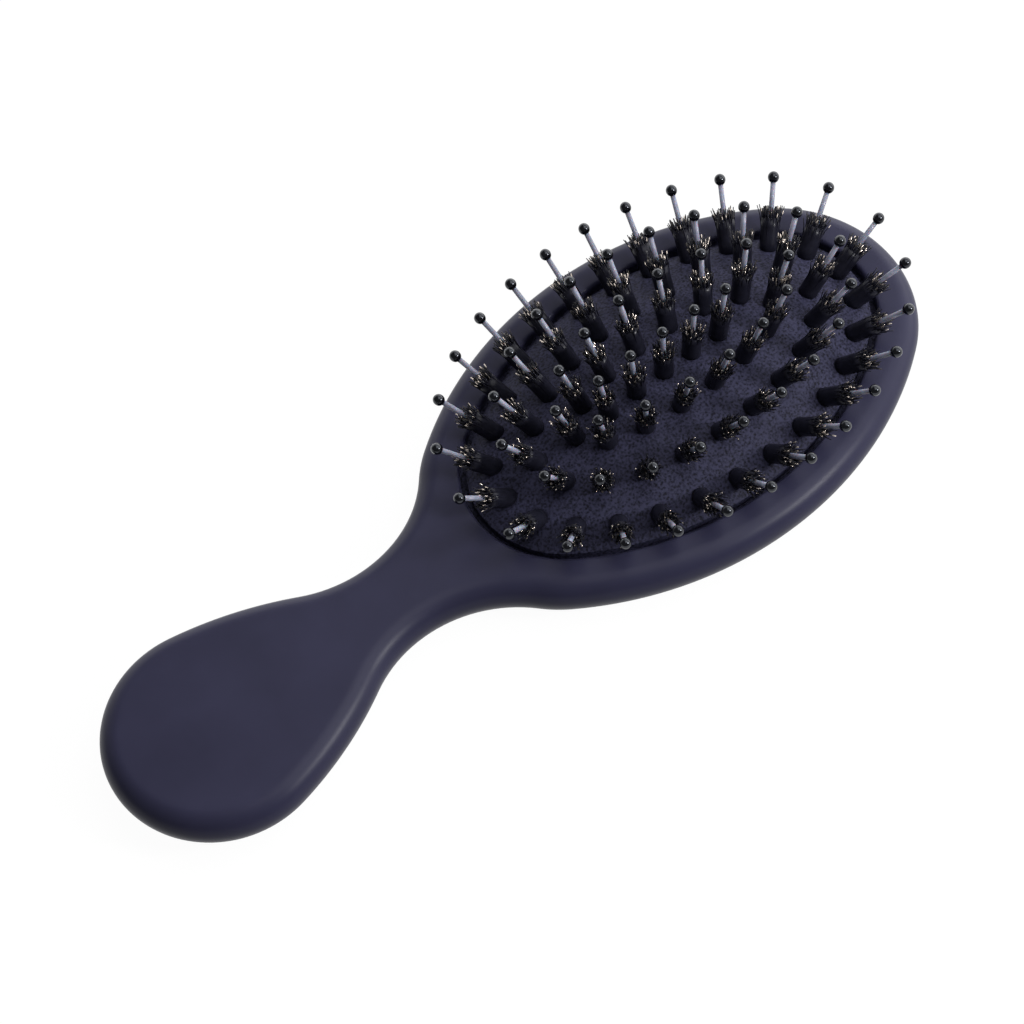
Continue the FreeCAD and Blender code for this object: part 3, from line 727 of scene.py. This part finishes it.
def bristle_points(tree, given):
    """A point for each bristle, which keeps where its tuft is and how it grows there."""
    size = add(tree, "GeometryNodeAttributeDomainSize", {"Geometry": given["Geometry"]})
    count = whole_node(tree, "MULTIPLY", size.outputs["Point Count"], given["Bristles"])
    points = add(tree, "GeometryNodePoints", {"Count": count}).outputs[0]
    index = add(tree, "GeometryNodeInputIndex").outputs[0]
    tuft = whole_node(tree, "DIVIDE_FLOOR", index, given["Bristles"])
    turn = whole_node(tree, "MODULO", index, given["Bristles"])

    def of_tuft(value):
        """A value read from the tuft's seat."""
        inputs = {"Geometry": given["Geometry"], "Value": value, "Index": tuft}
        return add(tree, "GeometryNodeSampleIndex", inputs, data_type="FLOAT_VECTOR").outputs[0]

    def scatter(low, high, draw):
        """A fixed random number for each bristle, another one for each draw."""
        seed = whole_node(tree, "ADD", given["Seed"], draw)
        inputs = {2: low, 3: high, "ID": index, "Seed": seed}
        return add(tree, "FunctionNodeRandomValue", inputs, data_type="FLOAT").outputs[1]

    # Where each bristle stands in its tuft, on a sunflower's pattern
    ratio = math_node(tree, "DIVIDE", math_node(tree, "ADD", turn, 0.5), given["Bristles"])
    away = math_node(tree, "SQRT", ratio)
    around = math_node(tree, "ADD", math_node(tree, "MULTIPLY", turn, GOLDEN_ANGLE),
                       math_node(tree, "MULTIPLY", tuft, TURN_PER_TUFT))
    disc = vector_of(tree, x=math_node(tree, "MULTIPLY", away, math_node(tree, "COSINE", around)),
                     y=math_node(tree, "MULTIPLY", away, math_node(tree, "SINE", around)))
    stray = vector_node(tree, "SCALE", vector_of(tree, x=scatter(-1, 1, 1), y=scatter(-1, 1, 2)),
                        math_node(tree, "MULTIPLY", given["Crown Radius"], STRAY_SHARE))
    crown = vector_node(tree, "ADD", vector_node(tree, "SCALE", disc, given["Crown Radius"]), stray)

    values = {
        "seat": ("FLOAT_VECTOR", of_tuft(add(tree, "GeometryNodeInputPosition").outputs[0])),
        "lean": ("QUATERNION", leaning(tree, of_tuft(kept(tree, "axis", "FLOAT_VECTOR")))),
        "stem": ("FLOAT_VECTOR", vector_node(tree, "SCALE", disc, given["Stem Radius"])),
        "crown": ("FLOAT_VECTOR", crown),
        "tall": ("FLOAT", math_node(tree, "MULTIPLY", given["Height"], scatter(*HEIGHT_SHARES, 3))),
        "tone": ("FLOAT", scatter(0, 1, 4)),
    }
    for name, (kind, value) in values.items():
        points = stored(tree, points, name, kind, value)
    return points


def bent_bristles(tree, given, points):
    """Thin rods of height 1 on points, each bent from its place at the foot to its place at the cut ends."""
    rod = add(tree, "GeometryNodeMeshCylinder",
              {"Vertices": 5, "Side Segments": 5, "Radius": 1.0, "Depth": 1.0}, fill_type="NGON").outputs[0]
    rod = add(tree, "GeometryNodeTransform", {"Geometry": rod, "Translation": (0, 0, 0.5)}).outputs[0]
    rod = stored(tree, rod, "place", "FLOAT_VECTOR", add(tree, "GeometryNodeInputPosition").outputs[0])
    rods = add(tree, "GeometryNodeInstanceOnPoints", {"Points": points, "Instance": rod}).outputs[0]
    rods = add(tree, "GeometryNodeRealizeInstances", {"Geometry": rods}).outputs[0]

    place = kept(tree, "place", "FLOAT_VECTOR")
    across, beside, along = add(tree, "ShaderNodeSeparateXYZ", {0: place}).outputs
    fan = math_node(tree, "POWER", along, FAN_POWER)
    ends = {4: kept(tree, "stem", "FLOAT_VECTOR"), 5: kept(tree, "crown", "FLOAT_VECTOR")}
    middle = add(tree, "ShaderNodeMix", {0: fan, **ends}, data_type="VECTOR").outputs[1]
    thick = math_node(tree, "MULTIPLY", given["Width"], spread(tree, along, (0, 1), RADIUS_SHARES))
    whole = math_node(tree, "ADD", kept(tree, "tall", "FLOAT"), given["Root"])
    height = math_node(tree, "SUBTRACT", math_node(tree, "MULTIPLY", along, whole), given["Root"])
    skin = vector_of(tree, math_node(tree, "MULTIPLY", across, thick),
                     math_node(tree, "MULTIPLY", beside, thick), height)
    upright = vector_node(tree, "ADD", middle, skin)
    turned = add(tree, "FunctionNodeRotateVector",
                 {"Vector": upright, "Rotation": kept(tree, "lean", "QUATERNION")}).outputs[0]
    final = vector_node(tree, "ADD", turned, kept(tree, "seat", "FLOAT_VECTOR"))
    rods = stored(tree, rods, "along", "FLOAT", along)
    bent = add(tree, "GeometryNodeSetPosition", {"Geometry": rods, "Position": final}).outputs[0]
    for name in ("place", "stem", "crown", "seat", "lean", "tall"):
        bent = add(tree, "GeometryNodeRemoveAttribute", {"Geometry": bent, "Name": name}).outputs[0]
    return bent


def tuft_tree():
    """A geometry tree of bristle bundles on seats: packed at the foot, fanned and ragged at the cut ends."""
    tree, given = growing_tree("bristle_tufts", Bristles="Int", Stem_Radius="Float", Crown_Radius="Float",
                               Height="Float", Root="Float", Width="Float", Seed="Int")
    bristles = bent_bristles(tree, given, bristle_points(tree, given))
    join = add(tree, "GeometryNodeJoinGeometry")
    for part in (stood(tree, given, packed_core(tree, given)), bristles):
        tree.links.new(part, join.inputs[0])
    return close_tree(tree, given, join.outputs[0])


# Operators


class HAIRBRUSH_OT_handle(bpy.types.Operator):
    """Make the one-piece handle and head, with the pocket that holds the pad"""
    bl_idname = "hairbrush.handle"
    bl_label = "Handle and Head"

    def execute(self, context):
        handle = context.scene.hairbrush.handle
        shape = bmesh.new()
        outside = [row_of(shape, brush_outline(handle, inset), height)
                   for inset, height in self.skin(handle)]
        inside = [row_of(shape, opening_outline(handle, inset), height)
                  for inset, height in self.pocket(handle)]
        bridge(shape, outside)
        bridge(shape, inside)
        shape.faces.new(reversed(outside[0]))
        shape.faces.new(inside[-1])
        bmesh.ops.triangle_fill(shape, use_beauty=True,
                                edges=loop_edges(shape, outside[-1]) + loop_edges(shape, inside[0]))
        bmesh.ops.recalc_face_normals(shape, faces=shape.faces)
        piece = new_piece("brush_handle", smooth_mesh(shape, "brush_handle"))
        piece.data.materials.append(soft_touch_coat(handle))
        settle(piece, "soft_touch_handle", "handle", "handle_body")
        return {"FINISHED"}

    def skin(self, handle):
        """The outside from the back up to the face, as insets and heights."""
        top = HANDLE_HIGH.z
        edge = handle.face_round
        back = handle.back_inset
        belt = top - edge
        under = quarter_round(back, belt, back, belt, BACK_TURN, 0, EDGE_STEPS)
        over = quarter_round(edge, belt, edge, edge, 0, 90, EDGE_STEPS)
        return [(back * FLAT_BACK_SHARE, 0), *under, *over[1:], (edge + edge * SUPPORT_SHARE, top)]

    def pocket(self, handle):
        """The pocket from the face down over the lip and its groove to the floor, as insets and heights."""
        top = HANDLE_HIGH.z
        edge = handle.lip_round
        support = handle.face_round * SUPPORT_SHARE
        lip_foot = top - handle.lip_thickness
        groove_foot = lip_foot - handle.groove_height
        depth = handle.groove_depth
        floor = handle.floor_thickness
        lip = quarter_round(-edge, top - edge, edge, edge, 90, 180, LIP_STEPS)[:-1]
        return [(-edge - support, top), *lip, (0, top - edge), (0, lip_foot), (-depth, lip_foot),
                (-depth, groove_foot), (0, groove_foot), (0, floor), (support, floor)]


class HAIRBRUSH_OT_pad(bpy.types.Operator):
    """Make the domed rubber pad, drawn in a little round each tuft"""
    bl_idname = "hairbrush.pad"
    bl_label = "Cushion Pad"

    def execute(self, context):
        handle = context.scene.hairbrush.handle
        pad = context.scene.hairbrush.pad
        edge = HANDLE_HIGH.z - pad.drop
        bead_top = HANDLE_HIGH.z - handle.lip_thickness - pad.fit
        bead_foot = bead_top - handle.groove_height + 2 * pad.fit
        bead_inset = pad.fit - handle.groove_depth
        hollow = pad.gap + pad.wall
        bead = [(hollow, bead_foot, 1), (bead_inset, bead_foot, 1), (bead_inset, bead_top, 1),
                (pad.gap, bead_top, 1)]

        def dome(inset, rise):
            """Rows of the dome from its edge to its crown, as inset, height and scale."""
            scales = [1 - (1 - CROWN_SHARE) * band / DOME_BANDS for band in range(DOME_BANDS + 1)]
            return [(inset, edge + rise * (1 - scale ** pad.dome_power), scale) for scale in scales]

        def loops(rows):
            """The rows as loops of corners."""
            return [row_of(shape, opening_outline(handle, inset, scale, detail=2), height)
                    for inset, height, scale in rows]

        shape = bmesh.new()
        foot = loops(bead)
        outside = loops(dome(pad.gap, pad.rise))
        inside = loops(dome(hollow, pad.rise - pad.wall)[::UNDERSIDE_STEP])
        bridge(shape, foot + outside)
        bridge(shape, foot[:1] + inside)
        shape.faces.new(outside[-1])
        shape.faces.new(inside[-1])
        self.draw_in(outside, pad, context.scene.hairbrush.pins)
        bmesh.ops.recalc_face_normals(shape, faces=shape.faces)
        piece = new_piece("cushion_dome", smooth_mesh(shape, "cushion_dome"))
        piece.data.materials.append(pebbled_rubber(pad))
        settle(piece, "pad_rubber", "handle", "cushion_pad")
        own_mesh(piece)
        return {"FINISHED"}

    def draw_in(self, rows, pad, pins):
        """Lower the dome in a soft dimple round each tuft."""
        seats = [(foot, axis) for ring in RING_BODIES for foot, axis, run in standing_pins(ring)]
        tree = kdtree.KDTree(len(seats))
        for number, (foot, axis) in enumerate(seats):
            tree.insert(foot + axis * pins.root, number)
        tree.balance()
        for corner in (corner for row in rows for corner in row):
            number = tree.find(corner.co)[1]
            foot, axis = seats[number]
            away = ((corner.co - foot) - axis * (corner.co - foot).dot(axis)).length
            near = max(0, 1 - away / pad.dimple_radius)
            corner.co.z -= pad.dimple_depth * near * near * (3 - 2 * near)


class HAIRBRUSH_OT_tufts(bpy.types.Operator):
    """Grow the bristle tufts of each ring"""
    bl_idname = "hairbrush.tufts"
    bl_label = "Bristle Tufts"

    def execute(self, context):
        tufts = context.scene.hairbrush.tufts
        pins = context.scene.hairbrush.pins
        tree = tuft_tree()
        bristle = dyed_bristle(tufts)
        for number, (ring, body) in enumerate(RING_BODIES.items()):
            stands = standing_pins(ring)
            axes = [axis for foot, axis, run in stands]
            seats = [foot + axis * pins.root for foot, axis, run in stands]
            mesh = grown(f"tufts_{ring}", seat_mesh(f"tuft_seats_{ring}", seats, axes), tree, bristle,
                         Bristles=tufts.bristles, Stem_Radius=tufts.stem_radius,
                         Crown_Radius=tufts.crown_radius, Height=tufts.height, Root=tufts.root,
                         Width=tufts.width, Seed=tufts.seed + SEEDS_PER_RING * number)
            settle(new_piece(f"tufts_{ring}", mesh), "bristle", body, f"bristle_tufts_{ring}")
        return {"FINISHED"}


class HAIRBRUSH_OT_pins(bpy.types.Operator):
    """Stand the nylon pins and their ball tips in each ring"""
    bl_idname = "hairbrush.pins"
    bl_label = "Pins and Ball Tips"

    def execute(self, context):
        pins = context.scene.hairbrush.pins
        pin_tree = standing_tree("nylon_pins", pin_shape, Radius="Float", Length="Float")
        ball_tree = standing_tree("ball_tips", ball_shape, Radius="Float")
        nylon = clear_nylon(pins)
        dip = dipped_gloss(pins)
        for ring, body in RING_BODIES.items():
            feet, axes, runs = zip(*standing_pins(ring))
            tips = [foot + axis * (run + pins.foot) for foot, axis, run in zip(feet, axes, runs)]
            mesh = grown(f"pins_{ring}", seat_mesh(f"pin_seats_{ring}", feet, axes), pin_tree, nylon,
                         Radius=pins.radius, Length=runs[0])
            settle(new_piece(f"pins_{ring}", mesh), "nylon_pin", body, f"nylon_pins_{ring}")
            mesh = grown(f"tips_{ring}", seat_mesh(f"tip_seats_{ring}", tips, axes), ball_tree, dip,
                         Radius=pins.tip_radius)
            settle(new_piece(f"tips_{ring}", mesh), "ball_tip", body, f"ball_tips_{ring}")
        return {"FINISHED"}


class HAIRBRUSH_OT_staples(bpy.types.Operator):
    """Give the staples under the pad their steel"""
    bl_idname = "hairbrush.staples"
    bl_label = "Staples"

    def execute(self, context):
        steel = drawn_steel(context.scene.hairbrush.pins)
        for ring in RING_BODIES:
            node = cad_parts[f"tuft_staples_{ring}"]
            node.data.materials.clear()
            node.data.materials.append(steel)
        return {"FINISHED"}


class HAIRBRUSH_OT_stage(bpy.types.Operator):
    """Set up the floor, the light and the camera"""
    bl_idname = "hairbrush.stage"
    bl_label = "Stage"

    def execute(self, context):
        scene = context.scene
        stage = scene.hairbrush.stage
        scene.view_settings.view_transform = "Standard"
        self.make_camera(scene, stage)
        self.make_floor()
        self.make_sky(scene, stage)
        for name, (place, width) in LAMPS.items():
            self.make_lamp(scene, name, getattr(stage, name), place, width)
        return {"FINISHED"}

    def make_camera(self, scene, stage):
        """The camera at the photograph's angle."""
        back = Vector((math.sin(stage.azimuth) * math.cos(stage.elevation),
                       -math.cos(stage.azimuth) * math.cos(stage.elevation), math.sin(stage.elevation)))
        level = Vector((math.cos(stage.azimuth), math.sin(stage.azimuth), 0))
        rise = back.cross(level)
        right = level * math.cos(stage.roll) + rise * math.sin(stage.roll)
        up = rise * math.cos(stage.roll) - level * math.sin(stage.roll)
        data = bpy.data.cameras.new("camera")
        data.lens = data.sensor_width * stage.focal_share
        data.clip_start = 0.01
        camera = bpy.data.objects.new("camera", data)
        turn = Matrix((right, up, back)).transposed().to_4x4()
        camera.matrix_world = Matrix.Translation(Vector(stage.target) + back * stage.distance) @ turn
        scene.collection.objects.link(camera)
        scene.camera = camera

    def make_lamp(self, scene, name, power, place, width):
        """A square soft lamp that faces the middle of the brush."""
        data = bpy.data.lights.new(name, "AREA")
        data.energy = power
        data.size = width
        lamp = bpy.data.objects.new(name, data)
        lamp.location = place
        lamp.rotation_euler = (-Vector(place)).to_track_quat("-Z", "Y").to_euler()
        scene.collection.objects.link(lamp)

    def make_floor(self):
        """A wide flat floor just under the brush."""
        shape = bmesh.new()
        bmesh.ops.create_grid(shape, x_segments=1, y_segments=1, size=FLOOR_HALF_WIDTH)
        mesh = bpy.data.meshes.new("floor")
        shape.to_mesh(mesh)
        shape.free()
        mesh.materials.append(pale_floor())
        floor = new_piece("floor", mesh)
        floor.location.z = -FLOOR_DROP

    def make_sky(self, scene, stage):
        """A dim studio with a bright wall beyond the brush, fading towards its top and its ends."""
        world = bpy.data.worlds.new("sky")
        world.use_nodes = True
        tree = world.node_tree
        way = add(tree, "ShaderNodeTexCoord").outputs["Generated"]
        height = add(tree, "ShaderNodeSeparateXYZ", {0: way}).outputs[2]
        facing = add(tree, "ShaderNodeVectorMath", {0: way, 1: WALL_WAY}, operation="DOT_PRODUCT")
        ends = spread(tree, facing.outputs["Value"], WALL_ENDS, (0, 1))
        top = spread(tree, height, WALL_TOP, (1, 0))
        wall = math_node(tree, "MULTIPLY", ends, top)
        strength = spread(tree, wall, (0, 1), (stage.room, stage.backdrop))
        background = tree.nodes["Background"]
        background.inputs["Color"].default_value = (1, 1, 1, 1)
        tree.links.new(strength, background.inputs["Strength"])
        scene.world = world


class HAIRBRUSH_PT_panel(bpy.types.Panel):
    """Buttons that make the brush piece by piece"""
    bl_idname = "HAIRBRUSH_PT_panel"
    bl_label = "Hairbrush"
    bl_space_type = "VIEW_3D"
    bl_region_type = "UI"
    bl_category = "Hairbrush"

    def draw(self, context):
        for operator in OPERATORS:
            self.layout.operator(operator.bl_idname)


GROUPS = (HandleSettings, PadSettings, TuftSettings, PinSettings, StageSettings, HairbrushSettings)
OPERATORS = (HAIRBRUSH_OT_handle, HAIRBRUSH_OT_pad, HAIRBRUSH_OT_tufts, HAIRBRUSH_OT_pins,
             HAIRBRUSH_OT_staples, HAIRBRUSH_OT_stage)


def register():
    """Make the classes and the scene's settings known."""
    for item in (*GROUPS, *OPERATORS, HAIRBRUSH_PT_panel):
        bpy.utils.register_class(item)
    bpy.types.Scene.hairbrush = PointerProperty(type=HairbrushSettings)


def unregister():
    """Take the scene's settings and the classes away again."""
    del bpy.types.Scene.hairbrush
    for item in reversed((*GROUPS, *OPERATORS, HAIRBRUSH_PT_panel)):
        bpy.utils.unregister_class(item)


def main():
    """Make the brush and its stage."""
    register()
    bpy.ops.hairbrush.handle()
    bpy.ops.hairbrush.pad()
    bpy.ops.hairbrush.tufts()
    bpy.ops.hairbrush.pins()
    bpy.ops.hairbrush.staples()
    bpy.ops.hairbrush.stage()


if __name__ == "__main__":
    main()
